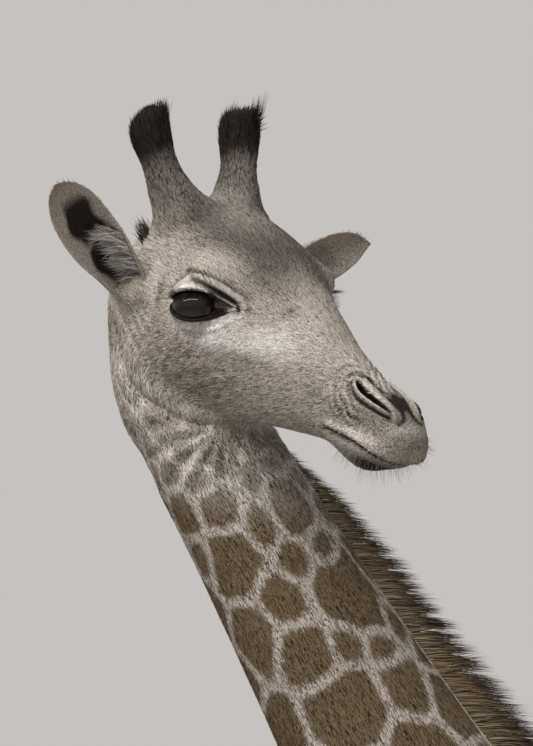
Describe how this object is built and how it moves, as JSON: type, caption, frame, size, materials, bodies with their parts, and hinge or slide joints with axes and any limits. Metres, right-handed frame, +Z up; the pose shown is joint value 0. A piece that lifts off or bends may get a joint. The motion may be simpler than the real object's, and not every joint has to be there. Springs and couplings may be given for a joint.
{
  "type": "giraffe",
  "caption": "Life-size standing giraffe cow that looks back over her left shoulder, with dark-tufted horns, a stiff neck mane and a tufted tail.",
  "frame": {"origin": "on the floor, under the middle of the animal's bounding box", "axes": "+Z up; the body faces -Y; the animal's own left side faces +X; the head is turned back over the left shoulder"},
  "size_m": [0.6346, 2.6713, 4.1878],
  "materials": {
    "coat": "short flat hair, pale ground with brown blotches",
    "dark_hair": "stiff dark brown to black hair",
    "hoof_horn": "worn horn",
    "eye": "wet and glossy"
  },
  "bodies": {
    "root": {"trunk": "coat", "neck_lower": "coat", "neck_upper": "coat", "head": "coat", "lower_jaw": "coat", "eye_left": "eye", "eye_right": "eye", "ossicone_left": "coat", "ossicone_right": "coat", "ear_left": "coat", "ear_right": "coat", "foreleg_left": "coat", "foreleg_right": "coat", "hindleg_left": "coat", "hindleg_right": "coat", "hoof_fore_left_outer": "hoof_horn", "hoof_fore_left_inner": "hoof_horn", "hoof_fore_right_outer": "hoof_horn", "hoof_fore_right_inner": "hoof_horn", "hoof_hind_left_outer": "hoof_horn", "hoof_hind_left_inner": "hoof_horn", "hoof_hind_right_outer": "hoof_horn", "hoof_hind_right_inner": "hoof_horn", "tail": "coat", "tail_tuft": "dark_hair", "mane": "dark_hair"}
  },
  "joints": []
}
